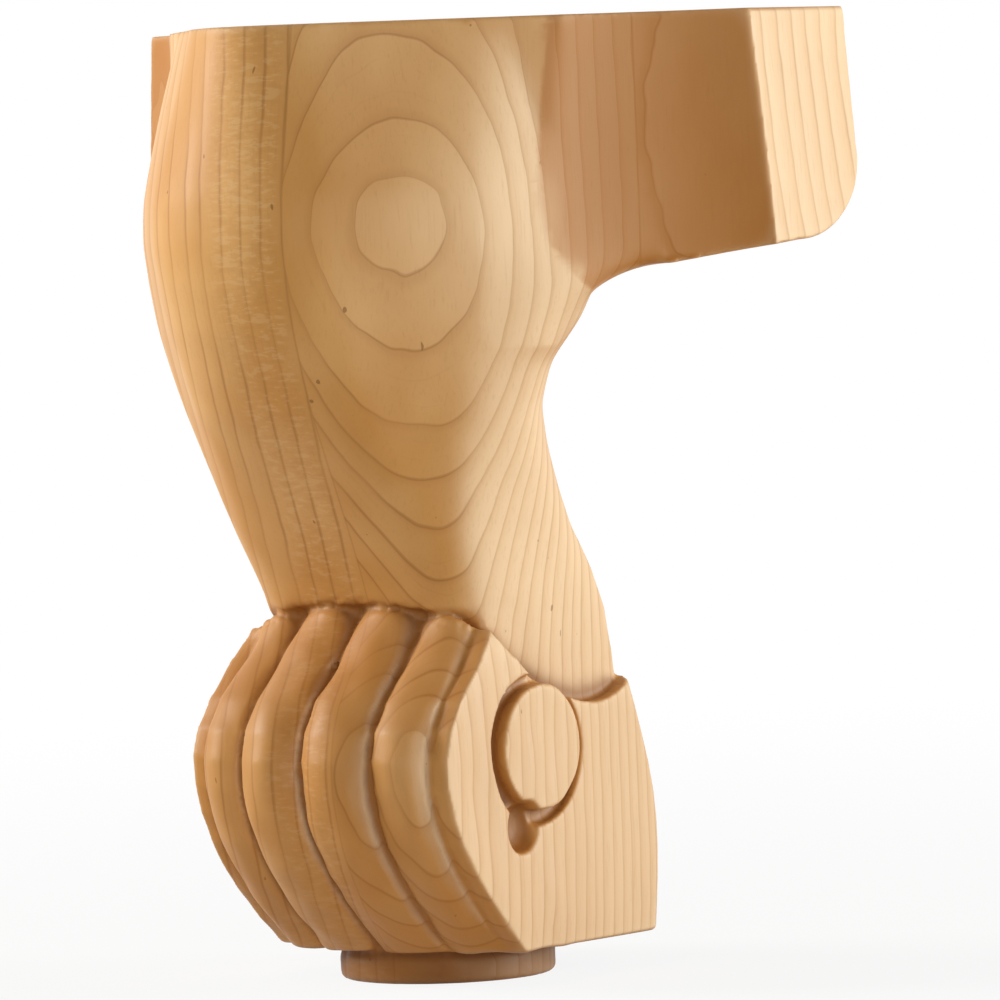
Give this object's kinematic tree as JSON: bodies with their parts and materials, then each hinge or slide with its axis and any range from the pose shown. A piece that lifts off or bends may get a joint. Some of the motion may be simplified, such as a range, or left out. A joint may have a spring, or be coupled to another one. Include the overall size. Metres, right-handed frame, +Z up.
{
  "type": "carved cabriole furniture leg",
  "caption": "Short carved corner leg with a rounded knee, an ear running back on each side, and a fluted scroll foot on a round pad.",
  "frame": {"origin": "centre of the round pad's underside", "axes": "+Z up; -Y towards the leg's outer corner; +X and -X towards the two ears' ends, which run back at 45 degrees"},
  "size_m": [0.1692, 0.1204, 0.203],
  "materials": {
    "maple": "sanded, unfinished"
  },
  "bodies": {
    "root": {"leg": "maple"}
  },
  "joints": []
}
